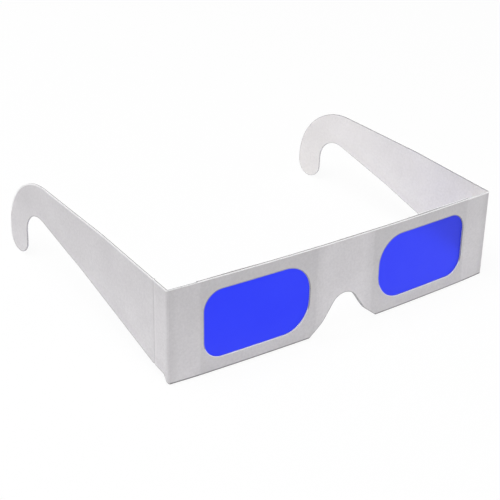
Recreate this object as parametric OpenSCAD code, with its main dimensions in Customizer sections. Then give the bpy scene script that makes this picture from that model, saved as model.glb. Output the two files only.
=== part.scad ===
// Folding card glasses with two blue filter windows, standing open.
// One die-cut card blank is folded up along the bottom of the front into two
// plies, with the filter films glued between them. Each temple is part of the
// same card, bent back at a creased corner. Units are millimetres.
// The layers are drawn with the front upright, then leaned back onto the
// surface, where the two front corners and the two ear hooks touch down.
// The origin is on that surface, under the middle of the nose notch.

/* [Card] */
// Thickness of the card
card_t = 0.5; // [0.4:0.05:0.6]
// Space between the two plies, which the film and glue fill
ply_gap = 0.3; // [0.2:0.05:0.4]
// Outer radius of the bent card at each corner
bend_r = 0.75; // [0.7:0.05:1]

/* [Front] */
// Width over the two bent corners
front_w = 146; // [140:1:152]
// Height of the front
front_h = 34.9; // [34:0.1:37]
// How far the middle of the front bows forward of its corners
front_bow = 2.1; // [1:0.1:2.5]
// Width of the back ply, which stops short of the corners
back_w = 122.8; // [122:0.2:128]

/* [Windows] */
// Distance from the middle of the front to each window
window_x = 15.9; // [15.8:0.1:16.6]
// Width of each window
window_w = 43.4; // [41:0.1:43.4]
// Height of the window's lower edge
window_z = 5; // [4.4:0.1:6]
// Height of each window
window_h = 25.3; // [23:0.1:26]
// Radius of the two window corners next to a temple
window_outer_r = 7.1; // [4:0.1:8]
// Radius of the upper window corner next to the nose
window_brow_r = 10.7; // [6:0.1:11]
// Radius of the lower window corner next to the nose
window_nose_r = 10.9; // [8:0.1:12]

/* [Nose notch] */
// Height of the nose notch
notch_h = 14; // [12.5:0.1:14.4]
// Radius of the top of the notch
notch_top_r = 6.3; // [5:0.1:6.6]
// Slope of the notch's sides above the flare
notch_side_slope = 55; // [52:1:60]
// Slope of the flare where it meets the bottom edge
notch_mouth_slope = 38; // [35:1:42]
// Radius of the flare between the two slopes
notch_flare_r = 13; // [10:0.5:14]
// Height at which the flare starts
notch_flare_z = 6.5; // [6:0.1:7]

/* [Films] */
// Thickness of each filter film
film_t = 0.15; // [0.1:0.01:0.18]
// Distance from the middle of the front to each film
film_x = 12.9; // [12.7:0.1:13.5]
// Width of each film
film_w = 47.9; // [47.5:0.1:48]
// Height of the film's lower edge
film_z = 2.6; // [2.4:0.1:3]
// Height of each film
film_h = 30.6; // [30:0.1:31]
// Bare border of film between a window's edge and the glue
glue_margin = 0.9; // [0.6:0.1:1.1]
// Width of the glue patch on the bridge, between the films
bridge_glue_w = 25; // [22:0.2:25.2]
// Distance from the top of the nose notch to the glue on the bridge
bridge_glue_gap = 1; // [0.5:0.1:2]

/* [Temples] */
// Length of each temple behind the face of the front
temple_l = 101.7; // [98:0.1:104]
// Distance behind the front of the slight knee in the top edge
top_knee_y = 37; // [30:1:45]
// Height of the slight knee in the top edge
top_knee_z = 40.5; // [39.5:0.1:41]
// Slope of the top edge behind that knee, up towards the ear
temple_rise = 6.3; // [5.5:0.1:7]
// Outer radius of the ear hook
hook_outer_r = 24.6; // [24:0.1:25.5]
// Inner radius of the ear hook
hook_inner_r = 9.3; // [8.5:0.1:9.6]
// Height of the centre of the hook's inner arc
hook_inner_z = 22.4; // [22:0.1:23]
// Slope of the underside where it runs into the hook
hook_slope = 19.5; // [18:0.5:21]
// Radius of the rounded tip of the hook
tip_r = 6.1; // [5.9:0.1:6.4]
// Height of the centre of the tip's round
tip_z = 18.9; // [18.5:0.1:19.5]
// Distance behind the front of the knee in the underside
knee_y = 52; // [48:0.5:56]
// Height of the knee in the underside
knee_z = 22.4; // [21:0.1:22.6]
// Distance behind the front where the underside starts to taper
taper_y = 8.5; // [8.2:0.1:12]
// Height where the underside starts to taper
taper_z = 5; // [4.4:0.1:5.2]
// Length of the cut-off lower corner beside the crease
corner_cut_y = 2.4; // [2:0.1:3]
// Height of the cut-off lower corner beside the crease
corner_cut_z = 3.5; // [3:0.1:4]
// Angle that the left temple is splayed outwards from square
left_splay = 3; // [0:0.1:5]
// Angle that the right temple leans inwards from square
right_lean = 6.5; // [3:0.1:8]

/* [Spare score] */
// Distance behind the front of the spare score line
score_y = 7.6; // [7:0.1:8]
// Width of the spare score line
score_w = 1; // [0.8:0.1:1.4]
// Depth of the spare score line in the outer face
score_depth = 0.15; // [0.1:0.05:0.2]

/* [Hidden] */

// Two plies with the gap between them
stack_t = 2 * card_t + ply_gap;
// Radius of the bowed outer face, and its centre behind the front
bow_r = front_w * front_w / (8 * front_bow) + front_bow / 2;
bow_y = bow_r - front_bow;
// Fineness and swept angle of the bowed layers
bow_sides = 1440;
bow_sweep = 8;
round_sides = 96;
// Angle between the points along an arc of an outline, and round the bottom fold
arc_step = 6;
fold_step = 22.5;
// The crease axis is the centre of the bend, one bend radius in from both faces
crease_x = front_w / 2 - bend_r;
crease_y = bow_y - sqrt(pow(bow_r - bend_r, 2) - crease_x * crease_x);
// Running clearance between the bent card and the temple that swings on it
crease_clearance = 0.03;
// Length that a cutter runs past what it cuts
past = 5;

// The outer arc of the ear hook, tangent to the top edge and the end of the temple
hook_y = temple_l - hook_outer_r;
hook_start_y = hook_y - hook_outer_r * sin(temple_rise);
hook_z = top_knee_z + (hook_start_y - top_knee_y) * tan(temple_rise) - hook_outer_r * cos(temple_rise);
tip_y = temple_l - tip_r;
hook_inner_y = temple_l - 2 * tip_r - hook_inner_r;

// The lean that brings both hook tips down to the surface, from the mean reach of the two tips
tip_reach = (tip_y - bend_r) * cos((left_splay + right_lean) / 2) - bend_r;
lean = acos(tip_r / norm([tip_z, tip_reach])) - atan(tip_reach / tip_z);
// Height that the leaned glasses rise to stand on their front corners
lift = (crease_y + bend_r) * sin(lean);
// Distance that they move back to have the middle of the front over the origin
setback = (front_bow - stack_t / 2) * cos(lean);

// The nose notch's flare: where it starts, its centre, and where it meets the bottom edge
notch_side_x = notch_top_r * sin(notch_side_slope);
notch_side_z = notch_h - notch_top_r + notch_top_r * cos(notch_side_slope);
flare_start_x = notch_side_x + (notch_side_z - notch_flare_z) / tan(notch_side_slope);
flare_x = flare_start_x + notch_flare_r * sin(notch_side_slope);
flare_z = notch_flare_z + notch_flare_r * cos(notch_side_slope);
mouth_rise = flare_z - notch_flare_r * cos(notch_mouth_slope);
mouth_x = flare_x - notch_flare_r * sin(notch_mouth_slope) + mouth_rise / tan(notch_mouth_slope);
mouth_drop_x = past / tan(notch_mouth_slope);

front_colour = [0.87, 0.86, 0.89];
back_colour = [0.80, 0.80, 0.84];
fold_colour = [0.66, 0.66, 0.70];
temple_colour = [0.92, 0.91, 0.93];
film_colour = [0.24, 0.29, 0.98];
glue_colour = [0.93, 0.89, 0.74];

// Points along an arc about [x, z] from angle a to angle b
function arc(x, z, r, a, b, step = arc_step) =
  let (steps = ceil(abs(b - a) / step))
  [for (i = [0 : steps])
    let (angle = a + (b - a) * i / steps)
    [x + r * cos(angle), z + r * sin(angle)]];

function mirrored(points) = [for (i = [len(points) - 1 : -1 : 0]) [-points[i][0], points[i][1]]];

// Leans what is drawn upright back onto the surface
module stand() {
  translate([0, setback, lift]) rotate([-lean, 0, 0]) children();
}

// Draws the left side's shape on the side that is named
module on_side(side) {
  if (side == "right") mirror([1, 0, 0]) children();
  else children();
}

// Sweeps a section about the centre of the bow; its X is the distance from that centre
module bow_swept() {
  translate([0, bow_y, 0]) rotate([0, 0, -90 - bow_sweep / 2])
    rotate_extrude(angle = bow_sweep, $fn = bow_sides) children();
}

// Carries an outline drawn in X and Z through the whole depth of the front
module through_front() {
  translate([0, past, 0]) rotate([90, 0, 0]) linear_extrude(2 * past) children();
}

// A layer of the bowed front that starts a given depth behind its outer face
module bowed_layer(depth, thickness) {
  intersection() {
    bow_swept() translate([bow_r - depth - thickness, -past]) square([thickness, front_h + 2 * past]);
    through_front() children();
  }
}

// Half outlines are drawn on the left, where X is negative
module nose_notch() {
  half = concat(
    arc(0, notch_h - notch_top_r, notch_top_r, 90, 90 - notch_side_slope),
    arc(flare_x, flare_z, notch_flare_r, 270 - notch_side_slope, 270 - notch_mouth_slope),
    [[mouth_x, 0], [mouth_x + mouth_drop_x, -past]]
  );
  polygon(concat(half, mirrored(half)));
}

// The left window, grown on every side by a margin
module window(margin) {
  near = -window_x + margin;
  far = -window_x - window_w - margin;
  low = window_z - margin;
  high = window_z + window_h + margin;
  outer_r = window_outer_r + margin;
  brow_r = window_brow_r + margin;
  nose_r = window_nose_r + margin;
  polygon([
    [near, low + nose_r], [near, high - brow_r], [near - brow_r, high], [far + outer_r, high],
    [far, high - outer_r], [far, low + outer_r], [far + outer_r, low], [near - nose_r, low]
  ]);
  translate([near - nose_r, low + nose_r]) circle(nose_r, $fn = round_sides);
  translate([near - brow_r, high - brow_r]) circle(brow_r, $fn = round_sides);
  translate([far + outer_r, high - outer_r]) circle(outer_r, $fn = round_sides);
  translate([far + outer_r, low + outer_r]) circle(outer_r, $fn = round_sides);
}

module both_windows() {
  for (side = ["left", "right"]) on_side(side) window(0);
}

// The front ply, whose lower edge gives way to the bottom folds behind the back ply's width
module front_panel() {
  color(front_colour) bowed_layer(0, card_t) difference() {
    translate([-crease_x, 0]) square([2 * crease_x, front_h]);
    both_windows();
    nose_notch();
    translate([-back_w / 2, -past]) square([back_w, past + stack_t / 2]);
  }
}

module back_panel() {
  color(back_colour) bowed_layer(card_t + ply_gap, card_t) difference() {
    translate([-back_w / 2, stack_t / 2]) square([back_w, front_h - stack_t / 2]);
    both_windows();
    nose_notch();
  }
}

// The card doubled back along the bottom, from the nose notch to the end of the back ply
module bottom_fold(side) {
  color(fold_colour) on_side(side) intersection() {
    bow_swept() translate([bow_r - stack_t / 2, stack_t / 2]) polygon(concat(
      arc(0, 0, stack_t / 2, 180, 360, fold_step),
      arc(0, 0, ply_gap / 2, 360, 180, fold_step)
    ));
    through_front() difference() {
      translate([-back_w / 2, -past]) square([back_w / 2, 2 * past]);
      nose_notch();
    }
  }
}

module film_outline() {
  translate([-film_x - film_w, film_z]) square([film_w, film_h]);
}

module film(side) {
  color(film_colour) on_side(side) bowed_layer(card_t, film_t) film_outline();
}

// The layer of glue around a window, between the film and the back ply
module film_glue(side) {
  color(glue_colour) on_side(side) bowed_layer(card_t + film_t, ply_gap - film_t) difference() {
    film_outline();
    window(glue_margin);
  }
}

module bridge_glue() {
  low = notch_h + bridge_glue_gap;
  color(glue_colour) bowed_layer(card_t, ply_gap)
    translate([-bridge_glue_w / 2, low]) square([bridge_glue_w, film_z + film_h - low]);
}

// The bent card at a corner, drawn as the half round that the temple swings about
module crease(side) {
  color(fold_colour) on_side(side) translate([-crease_x, crease_y, 0]) difference() {
    cylinder(r = bend_r, h = front_h, $fn = round_sides);
    translate([0, 0, -past]) cylinder(r = bend_r - card_t, h = front_h + 2 * past, $fn = round_sides);
    translate([0, -past, -past]) cube([past, 2 * past, front_h + 2 * past]);
  }
}

// The temple laid flat: X is the distance behind the front, Y is the height
module temple_outline() {
  polygon(concat(
    [[0, 0], [0, front_h], [top_knee_y, top_knee_z]],
    arc(hook_y, hook_z, hook_outer_r, 90 + temple_rise, 0),
    arc(tip_y, tip_z, tip_r, 0, -180),
    arc(hook_inner_y, hook_inner_z, hook_inner_r, 0, 90 + hook_slope),
    [[knee_y, knee_z], [taper_y, taper_z], [corner_cut_y, corner_cut_z]]
  ));
}

// A stretch of the left temple's card about its crease axis, with its outer face pressed in by recess
module temple_card(start, end, recess) {
  translate([recess - bend_r, -bend_r, 0]) rotate([90, 0, 90]) linear_extrude(card_t - recess)
    intersection() {
      temple_outline();
      translate([start, -past]) square([end - start, 2 * front_h]);
    }
}

// Sets a temple's card at its crease, at the angle in which it stands
module at_crease(side) {
  if (side == "left") translate([-crease_x, crease_y, 0]) rotate([0, 0, left_splay]) children();
  else translate([crease_x, crease_y, 0]) rotate([0, 0, right_lean]) mirror([1, 0, 0]) children();
}

// The short panel between the crease and the spare score line
module temple_root(side) {
  color(temple_colour) at_crease(side) difference() {
    temple_card(bend_r, score_y - score_w / 2, 0);
    translate([0, 0, -past])
      cylinder(r = bend_r + crease_clearance, h = front_h + 3 * past, $fn = round_sides);
  }
}

// The spare score line, where the card is pressed thinner from outside
module score(side) {
  color(fold_colour) at_crease(side)
    temple_card(score_y - score_w / 2, score_y + score_w / 2, score_depth);
}

module temple_arm(side) {
  color(temple_colour) at_crease(side) temple_card(score_y + score_w / 2, temple_l + past, 0);
}

stand() front_panel();
stand() back_panel();
stand() bottom_fold("left");  // left_bottom_fold
stand() bottom_fold("right");  // right_bottom_fold
stand() film("left");  // left_film
stand() film("right");  // right_film
stand() film_glue("left");  // left_film_glue
stand() film_glue("right");  // right_film_glue
stand() bridge_glue();
stand() crease("left");  // left_crease
stand() crease("right");  // right_crease
stand() temple_root("left");  // left_temple_root
stand() temple_root("right");  // right_temple_root
stand() score("left");  // left_score
stand() score("right");  // right_score
stand() temple_arm("left");  // left_temple_arm
stand() temple_arm("right");  // right_temple_arm
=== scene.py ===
from math import acos, atan, ceil, cos, hypot, pi, radians, sin, sqrt, tan

import bmesh
import bpy
from mathutils import Euler, Matrix, Vector
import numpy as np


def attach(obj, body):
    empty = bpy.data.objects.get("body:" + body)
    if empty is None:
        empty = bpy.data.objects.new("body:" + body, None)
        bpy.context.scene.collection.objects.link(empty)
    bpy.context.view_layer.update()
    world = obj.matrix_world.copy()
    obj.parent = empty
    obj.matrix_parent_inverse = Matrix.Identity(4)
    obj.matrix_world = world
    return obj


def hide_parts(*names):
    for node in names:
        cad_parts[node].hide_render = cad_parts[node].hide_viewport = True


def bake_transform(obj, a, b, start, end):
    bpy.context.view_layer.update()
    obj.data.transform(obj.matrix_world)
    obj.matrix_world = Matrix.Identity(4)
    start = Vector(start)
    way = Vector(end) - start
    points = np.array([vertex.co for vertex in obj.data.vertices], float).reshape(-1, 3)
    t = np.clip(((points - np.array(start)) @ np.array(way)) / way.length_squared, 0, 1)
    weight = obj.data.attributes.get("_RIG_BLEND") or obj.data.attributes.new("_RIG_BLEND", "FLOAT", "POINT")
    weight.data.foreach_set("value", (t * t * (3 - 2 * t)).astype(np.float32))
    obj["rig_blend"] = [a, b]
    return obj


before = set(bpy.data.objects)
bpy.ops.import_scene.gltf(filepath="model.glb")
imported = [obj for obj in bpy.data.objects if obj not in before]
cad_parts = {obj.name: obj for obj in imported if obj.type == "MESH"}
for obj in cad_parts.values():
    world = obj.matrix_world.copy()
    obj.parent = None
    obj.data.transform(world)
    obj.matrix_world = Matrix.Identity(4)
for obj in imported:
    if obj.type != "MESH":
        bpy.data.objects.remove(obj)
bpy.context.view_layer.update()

# The view
# The glasses are seen from in front, left of them and above, with a long lens that is
# held a little crooked. Sizes in this file are millimetres times mm.
mm = 0.001
view_place = (-0.2469594, -0.2452479, 0.2405475)
view_round = -39.2994
view_down = 31.5603
view_tilt = 6.5461
lens_length = 84.183
film_gate = 36
nearest_seen = 10 * mm

camera_data = bpy.data.cameras.new("camera")
camera = bpy.data.objects.new("camera", camera_data)
bpy.context.scene.collection.objects.link(camera)
bpy.context.scene.camera = camera
aim = Euler((radians(90 - view_down), 0, radians(view_round))).to_matrix()
aim = aim @ Matrix.Rotation(radians(view_tilt), 3, "Z")
camera.matrix_world = Matrix.Translation(view_place) @ aim.to_4x4()
camera_data.lens = lens_length
camera_data.sensor_width = film_gate
camera_data.clip_start = nearest_seen
bpy.context.scene.view_settings.view_transform = "Standard"

# The table and the light
# A white table in a white room, with a large soft lamp overhead and weaker ones in front on the right
# and on the left. The lens, the gloss and the films see it all white, but for a faint shadow on the table.
table_width = 6.0
table_drop = 0.05 * mm
table_white = (0.86, 0.86, 0.86, 1)
table_rough = 0.9
table_glow = 0.93
pure_white = (1, 1, 1, 1)
room_light = 0.26
half_a_bounce = 0.5
# Each lamp's name, place, width, power, and whether it shows in the gloss.
lamps = (
    ("lamp overhead", (-0.32, 0.12, 1.0), 0.8, 9.7, True),
    ("lamp on the right", (0.75, -0.95, 0.4), 0.8, 4.0, False),
    ("lamp on the left", (-1.1, 0.15, 0.75), 0.8, 1.0, True),
)


def add_node(tree, kind, settings, inputs):
    """Adds a node with its settings, and each input's value or link."""
    node = tree.nodes.new(kind)
    for setting, value in settings.items():
        setattr(node, setting, value)
    for socket, value in inputs.items():
        if isinstance(value, bpy.types.NodeSocket):
            tree.links.new(value, node.inputs[socket])
        else:
            node.inputs[socket].default_value = value
    return node


def work_out(tree, operation, first, second=0.0):
    """One number worked out from another, or from two."""
    return add_node(tree, "ShaderNodeMath", {"operation": operation}, {0: first, 1: second}).outputs["Value"]


def seen_directly(tree):
    """1 for rays from the lens, in a reflection or through a film, and 0 for light that falls on things."""
    path = add_node(tree, "ShaderNodeLightPath", {}, {}).outputs
    either = work_out(tree, "MAXIMUM", path["Is Camera Ray"], path["Is Glossy Ray"])
    any_of_three = work_out(tree, "MAXIMUM", either, path["Is Transmission Ray"])
    not_scattered = work_out(tree, "LESS_THAN", path["Diffuse Depth"], half_a_bounce)
    return work_out(tree, "MULTIPLY", any_of_three, not_scattered)


def new_finish(name):
    """A new material, with the tree of its nodes."""
    finish = bpy.data.materials.new(name)
    finish.use_nodes = True
    return finish, finish.node_tree


room = bpy.data.worlds.new("white room")
bpy.context.scene.world = room
room.use_nodes = True
tree = room.node_tree
tree.nodes.clear()
lighting = add_node(tree, "ShaderNodeBackground", {}, {"Color": pure_white, "Strength": room_light})
backdrop = add_node(tree, "ShaderNodeBackground", {}, {"Color": pure_white, "Strength": 1})
lit_or_seen = add_node(tree, "ShaderNodeMixShader", {},
                       {0: seen_directly(tree), 1: lighting.outputs["Background"],
                        2: backdrop.outputs["Background"]})
add_node(tree, "ShaderNodeOutputWorld", {}, {"Surface": lit_or_seen.outputs["Shader"]})

bpy.ops.object.select_all(action="DESELECT")
bpy.ops.mesh.primitive_plane_add(size=table_width, location=(0, 0, -table_drop))
table = bpy.context.object
table.name = "table"
bpy.ops.object.transform_apply(location=True, rotation=True, scale=True)
table_paint, tree = new_finish("white table")
matt = tree.nodes["Principled BSDF"]
matt.inputs["Base Color"].default_value = table_white
matt.inputs["Roughness"].default_value = table_rough
glow = add_node(tree, "ShaderNodeEmission", {}, {"Color": pure_white, "Strength": 1})
glow_share = work_out(tree, "MULTIPLY", seen_directly(tree), table_glow)
lit_or_white = add_node(tree, "ShaderNodeMixShader", {},
                        {0: glow_share, 1: matt.outputs["BSDF"], 2: glow.outputs["Emission"]})
tree.links.new(lit_or_white.outputs["Shader"], tree.nodes["Material Output"].inputs["Surface"])
table.data.materials.append(table_paint)

for lamp_name, lamp_place, lamp_width, lamp_power, in_gloss in lamps:
    lamp_data = bpy.data.lights.new(lamp_name, "AREA")
    lamp_data.shape = "DISK"
    lamp_data.size = lamp_width
    lamp_data.energy = lamp_power
    lamp = bpy.data.objects.new(lamp_name, lamp_data)
    bpy.context.scene.collection.objects.link(lamp)
    lamp.visible_glossy = in_gloss
    lamp.location = lamp_place
    lamp.rotation_euler = (-Vector(lamp_place)).to_track_quat("-Z", "Y").to_euler()

# The folded front
# The middle of the die-cut blank of coated white board: the front ply, and the back ply folded up behind
# it along the bottom edge. The windows and the notch go through both, and the whole front is bowed.
card_t = 0.5 * mm
ply_gap = 0.3 * mm
bend_r = 0.75 * mm
fold_steps = 10
front_w = 146 * mm
front_h = 34.9 * mm
front_bow = 2.1 * mm
back_w = 122.8 * mm
tab_low = 0.3 * mm
window_x = 15.9 * mm
window_w = 43.4 * mm
window_z = 5 * mm
window_h = 25.3 * mm
window_outer_r = 7.1 * mm
window_brow_r = 10.7 * mm
window_nose_r = 10.9 * mm
back_window_more = 0.7 * mm
notch_h = 14 * mm
notch_top_r = 6.3 * mm
notch_side_slope = radians(55)
notch_mouth_slope = radians(38)
notch_flare_r = 13 * mm
notch_flare_z = 6.5 * mm
film_x = 12.9 * mm
film_w = 47.9 * mm
film_z = 2.6 * mm
film_h = 30.6 * mm
temple_l = 101.7 * mm
tip_r = 6.1 * mm
tip_z = 18.9 * mm
left_splay = radians(3)
right_lean = radians(6.5)

# What real card does: films that print through, plies that gape, slight waves, and a belly at the foot.
film_bulge = 0.05 * mm
step_half = 0.3 * mm
step_slack = 0.03 * mm
top_gaps = ((-46 * mm, 0.22 * mm), (3 * mm, 0.12 * mm), (39 * mm, 0.26 * mm))
gap_reach = 15 * mm
card_waves = 0.16 * mm
wave_length = 34 * mm
wave_fade = 10 * mm
foot_out = 0.3 * mm
foot_fade = 12 * mm

# What the die leaves, and what is painted along it: the white core of the cut, carried onto the coat along
# the upper edges as a painted highlight; painted shade on the coat along the lower edges; and a painted
# shaded lip on the bare side; but none at the slits beside the fold. The last four say how far up or back the
# wall of a cut faces where its rim gets the highlight or the shade.
# Painted highlight: the white of the cut core, carried onto the coat along the upper edges.
front_core_and_highlight = 0.2 * mm
shaded_rim_width = 0.26 * mm
# Painted shade: a dark lip along the bare side of the cuts.
front_shaded_lip = 0.08 * mm
# Painted highlight along the top of the single ply at the right end.
single_core_and_highlight = 0.42 * mm
# Painted shade along the top lip of the single ply at the left end.
single_shaded_lip = 0.3 * mm
slit_half = 1 * mm
slit_top = 1.5 * mm
highlight_up = 0.35
shaded_back = 0.2
shaded_down = -0.5
top_up = 0.9

# How the sheet is ruled and cut.
same_place = 0.01 * mm
cell = 1.5 * mm
gap_half = 0.6 * cell
top_band = 0.1 * mm
cutter_past = 3 * mm
arc_step = radians(4)
rim_steps = 2
sharp_rim = radians(60)
sharp_shading = radians(35)
flat_weight = 80
stood_up = (radians(90), 0, 0)

# The finishes, and their places in a card's list of materials.
coat_place, bare_place, edge_place, shaded_rim_place, shaded_lip_place = range(5)
coat_look = {
    "light": (0.77, 0.75, 0.77, 1), "dark": (0.68, 0.66, 0.68, 1), "mottle_size": 0.9 * mm,
    "fibre_size": 0.35 * mm, "fibre_depth": 0.015 * mm, "smoothest": 0.42, "roughest": 0.54,
}
bare_look = {
    "light": (0.915, 0.89, 0.883, 1), "dark": (0.825, 0.80, 0.794, 1), "mottle_size": 0.9 * mm,
    "fibre_size": 0.3 * mm, "fibre_depth": 0.02 * mm, "smoothest": 0.72, "roughest": 0.88,
}
edge_look = {
    "light": (0.95, 0.94, 0.95, 1), "dark": (0.88, 0.87, 0.88, 1), "mottle_size": 0.5 * mm,
    "fibre_size": 0.12 * mm, "fibre_depth": 0.03 * mm, "smoothest": 0.8, "roughest": 0.95,
}
clouds_to_mottle = 16
cloud_share = 0.4
mottle_range = (0.35, 0.65)
fibre_range = (0.3, 0.7)
fibre_strength = 0.5
over_film_shade = 0.925
film_step_soft = 0.6 * mm
# Painted light: the coat is made lighter on the bridge between the windows.
bridge_painted_light = 1.08
bridge_fade = film_x / 5
# Painted shade: the coat darkens towards each creased corner, on the front and on the temples.
crease_painted_shade = 0.91
corner_fade = 2 * mm
# Painted shade: the front's coat darkens towards its top.
upper_painted_shade = 0.90
# Painted shadow along the bottom fold, where it meets the table.
fold_painted_shadow = 0.38
fold_dark_up = 0.75 * mm
line_soft = 0.08 * mm
# Painted shade on the coat along the lower cut edges.
lower_rim_painted_shade = 0.58
lip_painted_shade = 0.28

# The folded stack, the bow as an arc from corner to corner, and how far the pair leans back onto its hooks.
stack_t = 2 * card_t + ply_gap
fold_z = stack_t / 2
panel_h = front_h - fold_z
bow_r = front_w * front_w / (8 * front_bow) + front_bow / 2
bow_y = bow_r - front_bow
crease_x = front_w / 2 - bend_r
crease_y = bow_y - sqrt((bow_r - bend_r) ** 2 - crease_x ** 2)
end_turn = atan(crease_x / (bow_y - crease_y))
front_half = bow_r * end_turn
tip_reach = (temple_l - tip_r - bend_r) * cos((left_splay + right_lean) / 2) - bend_r
lean = acos(tip_r / hypot(tip_z, tip_reach)) - atan(tip_reach / tip_z)
lift = (crease_y + bend_r) * sin(lean)
setback = (front_bow - stack_t / 2) * cos(lean)


def past(tree, value, bound, soft):
    """Rises from 0 to 1 as a value passes a bound, over a soft width on each side of it."""
    rise = add_node(tree, "ShaderNodeMapRange", {"interpolation_type": "SMOOTHSTEP"},
                    {"Value": value, "From Min": bound - soft, "From Max": bound + soft})
    return rise.outputs["Result"]


def short_of(tree, value, bound, soft):
    """Falls from 1 to 0 as a value passes a bound, over a soft width on each side of it."""
    fall = add_node(tree, "ShaderNodeMapRange", {"interpolation_type": "SMOOTHSTEP"},
                    {"Value": value, "From Min": bound - soft, "From Max": bound + soft,
                     "To Min": 1.0, "To Max": 0.0})
    return fall.outputs["Result"]


def between(tree, value, low, high, soft):
    """1 where a value lies between two bounds, with soft ends."""
    return work_out(tree, "MULTIPLY", past(tree, value, low, soft), short_of(tree, value, high, soft))


def mix_colours(tree, share, first, second, blend="MIX"):
    """A colour between two others, or one shaded by the other."""
    mixed = add_node(tree, "ShaderNodeMix", {"data_type": "RGBA", "blend_type": blend},
                     {0: share, 6: first, 7: second})
    return mixed.outputs[2]


def dress(tree, colour, roughness, relief):
    """Gives a finish its colour, its roughness and its relief."""
    surface = tree.nodes["Principled BSDF"]
    tree.links.new(colour, surface.inputs["Base Color"])
    tree.links.new(roughness.outputs["Result"], surface.inputs["Roughness"])
    tree.links.new(relief.outputs["Normal"], surface.inputs["Normal"])


def board_finish(name, light, dark, mottle_size, fibre_size, fibre_depth, smoothest, roughest):
    """A card surface with a faint mottle, cloudy patches and fibres, its nodes and its colour."""
    finish, tree = new_finish(name)
    place = add_node(tree, "ShaderNodeTexCoord", {}, {}).outputs["Object"]
    mottle = add_node(tree, "ShaderNodeTexNoise", {},
                      {"Vector": place, "Scale": 1 / mottle_size, "Detail": 3.0, "Roughness": 0.6})
    cloud = add_node(tree, "ShaderNodeTexNoise", {},
                     {"Vector": place, "Scale": 1 / (clouds_to_mottle * mottle_size), "Detail": 2.0})
    fibre = add_node(tree, "ShaderNodeTexNoise", {},
                     {"Vector": place, "Scale": 1 / fibre_size, "Detail": 4.0, "Roughness": 0.7,
                      "Distortion": 0.6})
    mixed = add_node(tree, "ShaderNodeMix", {"data_type": "FLOAT"},
                     {0: cloud_share, 2: mottle.outputs["Fac"], 3: cloud.outputs["Fac"]})
    spread = add_node(tree, "ShaderNodeMapRange", {},
                      {"Value": mixed.outputs[0], "From Min": mottle_range[0], "From Max": mottle_range[1]})
    rough = add_node(tree, "ShaderNodeMapRange", {},
                     {"Value": fibre.outputs["Fac"], "From Min": fibre_range[0], "From Max": fibre_range[1],
                      "To Min": smoothest, "To Max": roughest})
    relief = add_node(tree, "ShaderNodeBump", {},
                      {"Strength": fibre_strength, "Distance": fibre_depth, "Height": fibre.outputs["Fac"]})
    colour = mix_colours(tree, spread.outputs["Result"], dark, light)
    dress(tree, colour, rough, relief)
    return finish, tree, colour


def shade_where(tree, colour, mask, shade):
    """Shades a colour where the mask is 1, and returns the new one."""
    shaded = mix_colours(tree, mask, colour, (shade, shade, shade, 1), "MULTIPLY")
    tree.links.new(shaded, tree.nodes["Principled BSDF"].inputs["Base Color"])
    return shaded


def on_map(tree, name):
    """The two coordinates of one of the sheet's own UV maps."""
    coordinates = add_node(tree, "ShaderNodeUVMap", {"uv_map": name}, {})
    split = add_node(tree, "ShaderNodeSeparateXYZ", {}, {"Vector": coordinates.outputs["UV"]})
    return split.outputs["X"], split.outputs["Y"]


def front_coat_finish(name):
    """The coated face: darker over the films, with painted shade towards the corners and the top, painted
    light on the bridge and a painted shadow along the fold.
    """
    finish, tree, colour = board_finish(name, **coat_look)
    across, up = on_map(tree, "blank")
    from_middle = work_out(tree, "ABSOLUTE", across)
    over_film = between(tree, from_middle, film_x, film_x + film_w, film_step_soft)
    colour = shade_where(tree, colour, over_film, over_film_shade)
    # Painted light on the bridge between the windows.
    on_bridge = short_of(tree, from_middle, film_x - bridge_fade, bridge_fade)
    colour = shade_where(tree, colour, on_bridge, bridge_painted_light)
    # Painted shade towards each creased corner.
    at_corner = past(tree, from_middle, front_half - corner_fade, corner_fade)
    colour = shade_where(tree, colour, at_corner, crease_painted_shade)
    # Painted shade, darker towards the top.
    colour = shade_where(tree, colour, past(tree, up, front_h / 2, front_h / 2), upper_painted_shade)
    # Painted shadow along the bottom fold.
    colour = shade_where(tree, colour, short_of(tree, up, fold_dark_up, line_soft), fold_painted_shadow)
    return finish, tree, colour


front_coat = front_coat_finish("coated card of the front")[0]
# Painted shade on the coat along the lower cut edges of the front.
front_shaded_rim, tree, colour = front_coat_finish("coated card with painted shade along the lower cuts")
shade_where(tree, colour, 1.0, lower_rim_painted_shade)
bare = board_finish("bare inner side of the card", **bare_look)[0]
cut_edge = board_finish("cut edge of the card", **edge_look)[0]
# Painted shade on the far lip of the cut edges.
front_shaded_lip_finish, tree, colour = board_finish("painted shade on the far lip of the cut edge", **edge_look)
shade_where(tree, colour, 1.0, lip_painted_shade)


def pick(piece, kind, wanted):
    """Goes to edit mode with only those points, edges or faces selected whose middle passes the test."""
    bpy.ops.object.mode_set(mode="EDIT")
    bpy.ops.mesh.select_mode(type=kind)
    bpy.ops.mesh.select_all(action="DESELECT")
    form = bmesh.from_edit_mesh(piece.data)
    parts = {"VERT": form.verts, "EDGE": form.edges, "FACE": form.faces}[kind]
    for part in parts:
        corners = [part] if kind == "VERT" else part.verts
        middle = sum((corner.co for corner in corners), Vector()) / len(corners)
        if wanted(middle):
            part.select_set(True)
    form.select_flush_mode()
    bmesh.update_edit_mesh(piece.data)


def cut_line(piece, point, normal):
    """Rules a line across the whole sheet, where a plane meets it."""
    bpy.ops.object.mode_set(mode="EDIT")
    bpy.ops.mesh.select_mode(type="VERT")
    bpy.ops.mesh.select_all(action="SELECT")
    bpy.ops.mesh.bisect(plane_co=point, plane_no=normal)
    bpy.ops.object.mode_set(mode="OBJECT")


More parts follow.
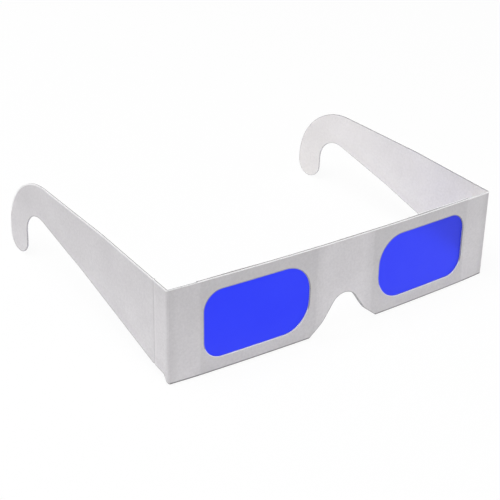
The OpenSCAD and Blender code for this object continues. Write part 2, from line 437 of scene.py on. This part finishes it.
def draw_outline(name, start, strokes):
    """Draws a closed outline upright in X and Z, and fills it. A stroke of one pair is a straight
    line to there, and one with an angle turns by it about the pair, anticlockwise from the front."""
    bpy.ops.object.select_all(action="DESELECT")
    bpy.ops.mesh.primitive_plane_add(size=mm, location=(start[0], 0, start[1]))
    outline = bpy.context.object
    outline.name = name
    bpy.ops.object.transform_apply(location=True, rotation=True, scale=True)
    bpy.ops.object.mode_set(mode="EDIT")
    bpy.ops.mesh.select_mode(type="VERT")
    bpy.ops.mesh.merge(type="CENTER")
    x, z = start
    for stroke in strokes:
        if len(stroke) == 2:
            way = (stroke[0] - x, 0, stroke[1] - z)
            bpy.ops.mesh.extrude_vertices_move(TRANSFORM_OT_translate={"value": way})
            x, z = stroke
        else:
            middle_x, middle_z, angle = stroke
            steps = max(2, ceil(abs(angle) / arc_step))
            bpy.ops.mesh.spin(steps=steps, angle=angle, center=(middle_x, 0, middle_z), axis=(0, 1, 0))
            reach_x, reach_z = x - middle_x, z - middle_z
            x = middle_x + reach_x * cos(angle) - reach_z * sin(angle)
            z = middle_z + reach_x * sin(angle) + reach_z * cos(angle)
    bpy.ops.mesh.select_all(action="SELECT")
    bpy.ops.mesh.remove_doubles(threshold=same_place)
    bpy.ops.mesh.edge_face_add()
    bpy.ops.object.mode_set(mode="OBJECT")
    return outline


def finish_modifier(piece, modifier):
    """Applies a modifier, with its piece the only one selected."""
    bpy.ops.object.select_all(action="DESELECT")
    piece.select_set(True)
    bpy.context.view_layer.objects.active = piece
    bpy.ops.object.modifier_apply(modifier=modifier.name)


def settle(piece, place, turn=(0, 0, 0)):
    """Moves and turns a piece, and puts its place into its mesh."""
    bpy.ops.object.select_all(action="DESELECT")
    piece.select_set(True)
    bpy.context.view_layer.objects.active = piece
    piece.location = place
    piece.rotation_euler = turn
    bpy.ops.object.transform_apply(location=True, rotation=True, scale=True)


bpy.ops.object.select_all(action="DESELECT")
bpy.ops.mesh.primitive_plane_add(size=1, rotation=stood_up)
front_card = bpy.context.object
front_card.name = "front_card"
front_card.scale = (back_w, panel_h, 1)
settle(front_card, (0, card_t / 2, fold_z + panel_h / 2), stood_up)
pick(front_card, "EDGE", lambda middle: middle.z < fold_z + same_place)
bpy.ops.mesh.spin(steps=fold_steps, angle=pi, center=(0, stack_t / 2, fold_z), axis=(-1, 0, 0))
bpy.ops.mesh.extrude_region_move(TRANSFORM_OT_translate={"value": (0, 0, panel_h)})
for side in (-1, 1):
    pick(front_card, "EDGE", lambda middle: (
        middle.x * side > back_w / 2 - same_place and middle.y < card_t and middle.z > fold_z + same_place))
    to_corner = (side * (front_half - back_w / 2), 0, 0)
    bpy.ops.mesh.extrude_region_move(TRANSFORM_OT_translate={"value": to_corner})
pick(front_card, "EDGE", lambda middle: (
    abs(middle.x) > back_w / 2 + same_place and middle.z < fold_z + same_place and middle.y < card_t))
bpy.ops.mesh.extrude_region_move(TRANSFORM_OT_translate={"value": (0, 0, tab_low - fold_z)})
bpy.ops.mesh.select_all(action="SELECT")
bpy.ops.mesh.remove_doubles(threshold=same_place)
bpy.ops.object.mode_set(mode="OBJECT")


def mark(piece, name, across, up):
    """Writes two measures of each point of a sheet on it, as a UV map."""
    layer = piece.data.uv_layers.new(name=name)
    for loop in piece.data.loops:
        point = piece.data.vertices[loop.vertex_index].co
        layer.data[loop.index].uv = (across(point), up(point))


def face_out(piece, is_outer, outward):
    """Turns the faces of an open sheet one way, with the coated side out."""
    bpy.ops.object.mode_set(mode="EDIT")
    bpy.ops.mesh.select_all(action="SELECT")
    bpy.ops.mesh.normals_make_consistent(inside=False)
    bpy.ops.object.mode_set(mode="OBJECT")
    facing = sum(face.area * face.normal.dot(outward)
                 for face in piece.data.polygons if is_outer(face.center))
    if facing < 0:
        bpy.ops.object.mode_set(mode="EDIT")
        bpy.ops.mesh.flip_normals()
        bpy.ops.object.mode_set(mode="OBJECT")


def move_free(piece, direction, depth, how_free, wave_length=None):
    """Moves a sheet where it is free: all one way, or in the slight waves of real card."""
    free = piece.vertex_groups.new(name="free card")
    for point in piece.data.vertices:
        free.add([point.index], max(0.0, min(1.0, how_free(point.co))), "REPLACE")
    shift = piece.modifiers.new("shift", "DISPLACE")
    if wave_length:
        swell = bpy.data.textures.new(piece.name + " waves", "CLOUDS")
        swell.noise_scale = wave_length
        swell.noise_depth = 1
        shift.texture = swell
    shift.texture_coords = "LOCAL"
    shift.direction = direction
    shift.mid_level = 0.5 if wave_length else 0.0
    shift.strength = depth
    shift.vertex_group = free.name
    finish_modifier(piece, shift)
    piece.vertex_groups.clear()


def at_foot(point):
    """How far a point of the front is moved forward: most at the foot, none at the top and the corners."""
    held = max(0.0, min(1.0, (front_half - abs(point.x)) / foot_fade))
    return held * ((front_h - point.z) / front_h) ** 2


def thicken(piece, thickness):
    """Gives a sheet its thickness, and a card its own finish on the back and on the edges."""
    wall = piece.modifiers.new("wall", "SOLIDIFY")
    wall.thickness = thickness
    wall.offset = 0
    wall.use_even_offset = True
    if len(piece.data.materials) > 1:
        wall.material_offset = bare_place
        wall.material_offset_rim = edge_place
    finish_modifier(piece, wall)


def bow(piece, width):
    """Bends a flat layer of the front to its bow, which curves about a line behind it."""
    curve = piece.modifiers.new("bow", "SIMPLE_DEFORM")
    curve.deform_method = "BEND"
    curve.deform_axis = "Z"
    curve.angle = width / bow_r
    finish_modifier(piece, curve)
    settle(piece, (0, -front_bow, 0))


def stand(piece):
    """Leans a piece back with the whole pair, until the hooks touch the table."""
    settle(piece, (0, setback, lift), (-lean, 0, 0))


def die_cut(piece, cutter):
    """Cuts a shape out of a card, and throws the cutter away."""
    cut = piece.modifiers.new("cut", "BOOLEAN")
    cut.operation = "DIFFERENCE"
    cut.solver = "EXACT"
    cut.material_mode = "TRANSFER"
    cut.object = cutter
    finish_modifier(piece, cut)
    bpy.data.objects.remove(cutter)


def make_cutter(outline, from_y):
    """Draws an outline out into a solid that reaches back from a depth through all plies behind it."""
    bpy.ops.object.mode_set(mode="EDIT")
    bpy.ops.mesh.select_all(action="SELECT")
    back = (0, stack_t + 2 * cutter_past, 0)
    bpy.ops.mesh.extrude_region_move(TRANSFORM_OT_translate={"value": back})
    bpy.ops.mesh.select_all(action="SELECT")
    bpy.ops.mesh.normals_make_consistent(inside=False)
    bpy.ops.object.mode_set(mode="OBJECT")
    settle(outline, (0, from_y, 0))
    outline.data.materials.append(cut_edge)
    mark(outline, "blank", lambda point: point.x, lambda point: point.z)
    return outline


def round_rims(piece, side_place, width, finish_place, wanted):
    """Gives the die-cut edges of one side of a card a rim with its own finish, where the test passes."""
    form = bmesh.new()
    form.from_mesh(piece.data)
    weights = form.edges.layers.float
    weight = weights.get("bevel_weight_edge") or weights.new("bevel_weight_edge")
    for edge in form.edges:
        edge[weight] = 0.0
        walls = [face for face in edge.link_faces if face.material_index == edge_place]
        faces = [face for face in edge.link_faces if face.material_index == side_place]
        if len(walls) == 1 and len(faces) == 1 and edge.calc_face_angle() > sharp_rim:
            middle = (edge.verts[0].co + edge.verts[1].co) / 2
            edge[weight] = 1.0 if wanted(middle, walls[0].normal) else 0.0
    form.to_mesh(piece.data)
    form.free()
    rim = piece.modifiers.new("rims", "BEVEL")
    rim.limit_method = "WEIGHT"
    rim.width = width
    rim.segments = rim_steps
    # A full profile keeps the corner square, so that the rim is only a strip with its own finish.
    rim.profile = 1.0
    rim.material = finish_place
    rim.use_clamp_overlap = False
    finish_modifier(piece, rim)


def add_rim_highlight_and_shade(piece, core_and_highlight, shaded_lip, shaded_lip_finish, is_free):
    """Carries the white core onto the coat along the upper edges as a painted highlight, paints shade on the
    coat along the lower ones, and a painted shaded lip on the bare side.
    """
    # Painted highlight along the upper edges.
    round_rims(piece, coat_place, core_and_highlight, edge_place,
               lambda middle, out: is_free(middle) and out.z > highlight_up)
    # Painted shade along the lower edges.
    round_rims(piece, coat_place, shaded_rim_width, shaded_rim_place, lambda middle, out: (
        is_free(middle) and out.z < highlight_up and (out.y < shaded_back or out.z < shaded_down)))
    # Painted shade along the lip on the bare side.
    round_rims(piece, bare_place, shaded_lip, shaded_lip_finish, lambda middle, out: is_free(middle))


def smooth(piece):
    """Shades a piece smooth, with its flat faces kept flat."""
    even = piece.modifiers.new("even shading", "WEIGHTED_NORMAL")
    bpy.ops.object.shade_smooth_by_angle(angle=sharp_shading)
    even.keep_sharp = True
    even.weight = flat_weight
    finish_modifier(piece, even)


def rule_grid(piece, places, heights, normal):
    """Rules a sheet into small cells, so that it can bend and swell."""
    for place in places:
        cut_line(piece, tuple(place * part for part in normal), normal)
    for height in heights:
        cut_line(piece, (0, 0, height), (0, 0, 1))


face_out(front_card, lambda middle: middle.y < card_t and middle.z > fold_z, Vector((0, -1, 0)))
mark(front_card, "blank", lambda point: point.x, lambda point: point.z)
for finish in (front_coat, bare, cut_edge, front_shaded_rim, front_shaded_lip_finish):
    front_card.data.materials.append(finish)
thicken(front_card, card_t)

# Each window is cut through both plies, and then a little larger through the back ply alone.
for side in (-1, 1):
    for more, from_y in ((0, -cutter_past), (back_window_more, card_t + ply_gap / 2)):
        near, far = window_x - more, window_x + window_w + more
        low, high = window_z - more, window_z + window_h + more
        outer_r, brow_r, nose_r = window_outer_r + more, window_brow_r + more, window_nose_r + more
        window = draw_outline("window", (side * near, low + nose_r), (
            (side * near, high - brow_r),
            (side * (near + brow_r), high - brow_r, side * -pi / 2),
            (side * (far - outer_r), high),
            (side * (far - outer_r), high - outer_r, side * -pi / 2),
            (side * far, low + outer_r),
            (side * (far - outer_r), low + outer_r, side * -pi / 2),
            (side * (near + nose_r), low),
            (side * (near + nose_r), low + nose_r, side * -pi / 2),
        ))
        die_cut(front_card, make_cutter(window, from_y))

notch_side_x = notch_top_r * sin(notch_side_slope)
notch_side_z = notch_h - notch_top_r + notch_top_r * cos(notch_side_slope)
flare_start_x = notch_side_x + (notch_side_z - notch_flare_z) / tan(notch_side_slope)
flare_x = flare_start_x + notch_flare_r * sin(notch_side_slope)
flare_z = notch_flare_z + notch_flare_r * cos(notch_side_slope)
flare_end_x = flare_x - notch_flare_r * sin(notch_mouth_slope)
flare_end_z = flare_z - notch_flare_r * cos(notch_mouth_slope)
below = -cutter_past
mouth_x = flare_end_x + (flare_end_z - below) / tan(notch_mouth_slope)
flare_turn = notch_side_slope - notch_mouth_slope
notch = draw_outline("nose notch", (-mouth_x, below), (
    (-flare_end_x, flare_end_z),
    (-flare_x, flare_z, flare_turn),
    (-notch_side_x, notch_side_z),
    (0, notch_h - notch_top_r, -2 * notch_side_slope),
    (flare_start_x, notch_flare_z),
    (flare_x, flare_z, flare_turn),
    (mouth_x, below),
))
die_cut(front_card, make_cutter(notch, -cutter_past))


def apart_from_ends(middle):
    """Not where the front goes on in the temples, nor at the slits beside the fold."""
    at_slit = abs(abs(middle.x) - back_w / 2) < slit_half and middle.z < slit_top
    return abs(middle.x) < front_half - same_place and not at_slit


# Painted highlight along the top of the single ply at the right end.
round_rims(front_card, coat_place, single_core_and_highlight, edge_place, lambda middle, out: (
    middle.x > back_w / 2 and out.z > top_up and apart_from_ends(middle)))
# Painted shade along the top lip of the single ply at the left end.
round_rims(front_card, bare_place, single_shaded_lip, shaded_lip_place, lambda middle, out: (
    middle.x < -back_w / 2 and out.z > top_up and apart_from_ends(middle)))
add_rim_highlight_and_shade(front_card, front_core_and_highlight, front_shaded_lip, shaded_lip_place, apart_from_ends)

half_columns = int(front_half / cell)
columns = [cell * step for step in range(-half_columns, half_columns + 1)]
columns += [side * (edge + offset) for side in (-1, 1) for edge in (film_x, back_w / 2 - step_half)
            for offset in (-step_half, step_half)]
rows = [cell * step for step in range(1, int(front_h / cell) + 1)]
rows += [edge + offset for edge in (film_z, film_z + film_h) for offset in (-step_half, step_half)]
rule_grid(front_card, columns, rows, (1, 0, 0))
inset = step_half - step_slack
pick(front_card, "VERT", lambda middle: (
    film_x + inset < abs(middle.x) < back_w / 2 - step_half - inset
    and film_z + inset < middle.z < film_z + film_h - inset and middle.y < stack_t / 2))
bpy.ops.transform.translate(value=(0, -film_bulge, 0))
for gap_x, gap_more in top_gaps:
    pick(front_card, "VERT", lambda middle: (
        abs(middle.x - gap_x) < gap_half and middle.y > stack_t / 2 and middle.z > front_h - top_band))
    bpy.ops.transform.translate(
        value=(0, gap_more, 0), use_proportional_edit=True, use_proportional_connected=True,
        proportional_edit_falloff="SMOOTH", proportional_size=gap_reach)
bpy.ops.object.mode_set(mode="OBJECT")

move_free(front_card, "Y", -foot_out, at_foot)
move_free(front_card, "Y", card_waves, lambda point: (front_half - abs(point.x)) / wave_fade, wave_length)
bow(front_card, 2 * front_half)
stand(front_card)
smooth(front_card)
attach(front_card, "front")
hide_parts("front_panel", "back_panel", "left_bottom_fold", "right_bottom_fold")

# The filter films
# A piece of thin blue plastic film behind each window, cut larger than the window and glued
# between the plies. It lies nearly flat, with a slight swell where nothing holds it.
film_t = 0.15 * mm
film_cell = 1.2 * mm
film_swell = 0.05 * mm
film_swell_length = 14 * mm
film_blue = ((0.024, 0.044, 0.99, 1), (0.029, 0.053, 1.0, 1))
film_bends_light = 1.3
film_reflects = 0.03
film_rough = (0.32, 0.38)
haze_scale = 120.0
streak_scale = (30, 30, 400)
streak_strength = 0.2
streak_depth = 0.01 * mm

blue_film, tree = new_finish("blue filter film")
surface = tree.nodes["Principled BSDF"]
surface.inputs["Transmission Weight"].default_value = 1.0
surface.inputs["IOR"].default_value = film_bends_light
surface.inputs["Specular IOR Level"].default_value = film_reflects
place = add_node(tree, "ShaderNodeTexCoord", {}, {}).outputs["Object"]
streak = add_node(tree, "ShaderNodeMapping", {}, {"Vector": place, "Scale": streak_scale})
drawn = add_node(tree, "ShaderNodeTexNoise", {},
                 {"Vector": streak.outputs["Vector"], "Scale": 1.0, "Detail": 2.0})
haze = add_node(tree, "ShaderNodeTexNoise", {}, {"Vector": place, "Scale": haze_scale, "Detail": 3.0})
film_gloss = add_node(tree, "ShaderNodeMapRange", {},
                      {"Value": haze.outputs["Fac"], "To Min": film_rough[0], "To Max": film_rough[1]})
film_relief = add_node(tree, "ShaderNodeBump", {},
                       {"Strength": streak_strength, "Distance": streak_depth,
                        "Height": drawn.outputs["Fac"]})
dress(tree, mix_colours(tree, haze.outputs["Fac"], *film_blue), film_gloss, film_relief)

for side, side_name in ((-1, "left"), (1, "right")):
    bpy.ops.object.select_all(action="DESELECT")
    bpy.ops.mesh.primitive_grid_add(
        x_subdivisions=round(film_w / film_cell), y_subdivisions=round(film_h / film_cell),
        size=1, rotation=stood_up)
    film = bpy.context.object
    film.name = side_name + "_film_sheet"
    film.scale = (film_w, film_h, 1)
    film_middle = (side * (film_x + film_w / 2), card_t + film_t / 2, film_z + film_h / 2)
    settle(film, film_middle, stood_up)
    film.data.materials.append(blue_film)
    move_free(film, "Y", -foot_out, at_foot)
    move_free(film, "Y", film_swell, lambda point: 1.0, film_swell_length)
    thicken(film, film_t)
    bow(film, film_w)
    stand(film)
    smooth(film)
    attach(film, "front")
    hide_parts(side_name + "_film")

# The glue
# Clear dried glue that holds the plies together: a layer round each window over the film, and a patch
# on the bridge. Only its edge shows, along the top and round the notch.
glue_colours = ((0.93, 0.91, 0.86, 1), (0.98, 0.97, 0.94, 1))
glue_bends_light = 1.47
glue_rough = (0.25, 0.5)
lump_scale = 700.0
lump_strength = 0.4
lump_depth = 0.04 * mm

glue, tree = new_finish("dried glue")
surface = tree.nodes["Principled BSDF"]
surface.inputs["Transmission Weight"].default_value = 1.0
surface.inputs["IOR"].default_value = glue_bends_light
place = add_node(tree, "ShaderNodeTexCoord", {}, {}).outputs["Object"]
lumps = add_node(tree, "ShaderNodeTexNoise", {}, {"Vector": place, "Scale": lump_scale, "Detail": 3.0})
glue_gloss = add_node(tree, "ShaderNodeMapRange", {},
                      {"Value": lumps.outputs["Fac"], "To Min": glue_rough[0], "To Max": glue_rough[1]})
glue_relief = add_node(tree, "ShaderNodeBump", {},
                       {"Strength": lump_strength, "Distance": lump_depth, "Height": lumps.outputs["Fac"]})
dress(tree, mix_colours(tree, lumps.outputs["Fac"], *glue_colours), glue_gloss, glue_relief)
for glue_name in ("left_film_glue", "right_film_glue", "bridge_glue"):
    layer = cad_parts[glue_name]
    layer.data.materials.clear()
    layer.data.materials.append(glue)

# The temples
# The two ends of the same card blank, die-cut with an ear hook, bent back at a creased corner and
# pressed with a spare score line behind it. Only the crease moves: the card bends there.
top_knee_y = 37 * mm
top_knee_z = 40.5 * mm
temple_rise = radians(6.3)
hook_outer_r = 24.6 * mm
hook_inner_r = 9.3 * mm
hook_inner_z = 22.4 * mm
hook_slope = radians(19.5)
knee = (52 * mm, 22.4 * mm)
taper = (8.5 * mm, 5 * mm)
corner_cut = (2.4 * mm, 3.5 * mm)
crease_steps = 10

# The spare score line, pressed into the coat: where the sheet is ruled for it, and how deep it is there.
score_y = 7.6 * mm
score_press = 0.2 * mm
score_rulings = (-0.7 * mm, -0.5 * mm, -0.25 * mm, 0, 0.25 * mm, 0.5 * mm, 0.7 * mm)
score_profile = ((-0.25 * mm, 0.6), (0, 1), (0.25 * mm, 0.6))
score_near = 0.05 * mm
score_clear = 1 * mm
temple_cell = 2 * mm
grid_top = 44 * mm

# The waves of the card, which begin behind the score. Each temple's side, name, swing and wave length.
temple_waves = 0.3 * mm
waves_from = 10 * mm
waves_rise = 30 * mm
temple_sides = ((-1, "left", left_splay, 38 * mm), (1, "right", -right_lean, 47 * mm))

# The rims, and the painted light and shade of the coat and of the cut edge, whose depth is measured from the
# coated face.
temple_core_and_highlight = 0.48 * mm
bare_rim = 0.14 * mm
end_half = 0.6 * card_t
# Painted light low on the temples and painted shade high on them.
painted_light_middle = 24 * mm
painted_light_fade = 12 * mm
temple_low_painted_light = 1.03
temple_high_painted_shade = 0.94
# Painted shade in the score line, and a painted highlight on the strip beside it.
score_half = 0.15 * mm
score_painted_shade = 0.84
beside_from = 1.4 * mm
beside_to = 0.3 * mm
beside_score_painted_light = 1.04
corner_behind = 0.7 * mm
corner_soft = 0.8 * mm
# Painted shade: a dark lip on the far side of the temples' upper cut edges, and a grey one along the rims of
# their bare side.
temple_shaded_lip = 0.26 * mm
temple_lip_painted_shade = 0.15
shaded_lip_low_end = 33 * mm
shaded_lip_fade = 2 * mm
bare_depth = card_t - 0.02 * mm
bare_rim_painted_shade = 0.4
depth_soft = 0.01 * mm

hook_y = temple_l - hook_outer_r
hook_start_y = hook_y - hook_outer_r * sin(temple_rise)
hook_start_z = top_knee_z + (hook_start_y - top_knee_y) * tan(temple_rise)
hook_z = hook_start_z - hook_outer_r * cos(temple_rise)
hook_inner_y = temple_l - 2 * tip_r - hook_inner_r
root_low = corner_cut[1] / corner_cut[0] * bend_r
root_high = front_h + (top_knee_z - front_h) / top_knee_y * bend_r
sheet_r = bend_r - card_t / 2

temple_coat, tree, colour = board_finish("coated card of the temples", **coat_look)
behind, up = on_map(tree, "blank")
# Painted light low on the temple, painted shade high up.
colour = shade_where(tree, colour, short_of(tree, up, painted_light_middle, painted_light_fade), temple_low_painted_light)
colour = shade_where(tree, colour, past(tree, up, painted_light_middle, painted_light_fade), temple_high_painted_shade)
# Painted shade in the score line and a painted highlight beside it.
score_line = between(tree, behind, score_y - score_half, score_y + score_half, line_soft)
colour = shade_where(tree, colour, score_line, score_painted_shade)
beside_score = between(tree, behind, score_y - beside_from, score_y - beside_to, line_soft)
colour = shade_where(tree, colour, beside_score, beside_score_painted_light)
# Painted shade towards the crease.
shade_where(tree, colour, short_of(tree, behind, corner_behind, corner_soft), crease_painted_shade)
# Painted shade on the coat along the lower cut edges of the temples.
temple_shaded_rim, tree, colour = board_finish("coated card pressed along the temples", **coat_look)
shade_where(tree, colour, 1.0, lower_rim_painted_shade)
temple_edge, tree, colour = board_finish("cut edge of the temples", **edge_look)
depth = on_map(tree, "layers")[0]
up = on_map(tree, "blank")[1]
# Painted shade along the far lip of the upper cut edges, and along the rims of the bare side.
at_shaded_lip = between(tree, depth, card_t - temple_shaded_lip, bare_depth, depth_soft)
upper_shaded_lip = work_out(tree, "MULTIPLY", at_shaded_lip, past(tree, up, shaded_lip_low_end, shaded_lip_fade))
colour = shade_where(tree, colour, upper_shaded_lip, temple_lip_painted_shade)
shade_where(tree, colour, past(tree, depth, bare_depth, depth_soft), bare_rim_painted_shade)


def under_coat(point):
    """How deep a point of a temple lies under its coated face, also where the card bends at the corner."""
    return bend_r - (abs(point.x) if point.y > 0 else hypot(point.x, point.y))


for side, side_name, swing, swell_length in temple_sides:
    temple = draw_outline(side_name + "_temple_card", (bend_r, root_low), (
        (bend_r, root_high),
        (top_knee_y, top_knee_z),
        (hook_start_y, hook_start_z),
        (hook_y, hook_z, -pi / 2 - temple_rise),
        (temple_l, tip_z),
        (temple_l - tip_r, tip_z, -pi),
        (temple_l - 2 * tip_r, hook_inner_z),
        (hook_inner_y, hook_inner_z, pi / 2 + hook_slope),
        knee,
        taper,
        corner_cut,
        (bend_r, root_low),
    ))
    settle(temple, (-sheet_r, -bend_r, 0), (0, 0, radians(90)))
    pick(temple, "EDGE", lambda middle: middle.y < same_place)
    crease_angle = pi / 2 - end_turn - swing
    bpy.ops.mesh.spin(steps=crease_steps, angle=crease_angle, center=(0, 0, 0), axis=(0, 0, -1))
    for step in range(1, crease_steps + 1):
        gone = step / crease_steps
        low = root_low + (tab_low - root_low) * gone
        high = root_high + (front_h - root_high) * gone
        stretch = (high - low) / (root_high - root_low)
        still_z = (low - stretch * root_low) / (1 - stretch)
        ring = pi + crease_angle * gone
        ring_x, ring_y = sheet_r * cos(ring), sheet_r * sin(ring)
        pick(temple, "VERT", lambda middle: hypot(middle.x - ring_x, middle.y - ring_y) < same_place)
        bpy.ops.transform.resize(value=(1, 1, stretch), center_override=(0, 0, still_z))
    bpy.ops.mesh.select_all(action="SELECT")
    bpy.ops.mesh.remove_doubles(threshold=same_place / 2)
    bpy.ops.object.mode_set(mode="OBJECT")
    if side > 0:
        temple.scale = (-1, 1, 1)
        settle(temple, (0, 0, 0))
    face_out(temple, lambda middle: middle.y > bend_r, Vector((side, 0, 0)))
    mark(temple, "blank", lambda point: point.y + bend_r, lambda point: point.z)
    for finish in (temple_coat, bare, temple_edge, temple_shaded_rim):
        temple.data.materials.append(finish)
    thicken(temple, card_t)
    mark(temple, "layers", under_coat, lambda point: 0.0)
    crease_end = pi + crease_angle
    end_middle = Vector((-side * sheet_r * cos(crease_end), sheet_r * sin(crease_end), 0))
    add_rim_highlight_and_shade(temple, temple_core_and_highlight, bare_rim, edge_place,
              lambda middle: hypot(middle.x - end_middle.x, middle.y - end_middle.y) > end_half)

    lengths = [temple_cell * step - bend_r for step in range(1, int(temple_l / temple_cell) + 1)
               if abs(temple_cell * step - score_y) > score_clear]
    lengths += [score_y - bend_r + offset for offset in score_rulings]
    heights = [temple_cell * step for step in range(1, int(grid_top / temple_cell))]
    rule_grid(temple, lengths, heights, (0, 1, 0))
    for offset, share in score_profile:
        pick(temple, "VERT", lambda middle: abs(middle.y + bend_r - score_y - offset) < score_near)
        bpy.ops.transform.translate(value=(-side * share * score_press, 0, 0))
    bpy.ops.object.mode_set(mode="OBJECT")
    move_free(temple, "X", temple_waves, lambda point: (point.y - waves_from) / waves_rise, swell_length)
    settle(temple, (side * crease_x, crease_y, 0), (0, 0, -side * swing))
    stand(temple)
    smooth(temple)

    leaning = Matrix.Translation((0, setback, lift)) @ Matrix.Rotation(-lean, 4, "X")
    bend_ends = []
    for angle in (1.5 * pi - end_turn, pi + swing):
        on_sheet = Vector((-crease_x + sheet_r * cos(angle), crease_y + sheet_r * sin(angle), front_h / 2))
        on_sheet.x *= -side
        bend_ends.append(leaning @ on_sheet)
    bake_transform(temple, "front", side_name + "_temple", start=tuple(bend_ends[0]), end=tuple(bend_ends[1]))
    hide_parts(side_name + "_crease", side_name + "_temple_root", side_name + "_score",
                side_name + "_temple_arm")
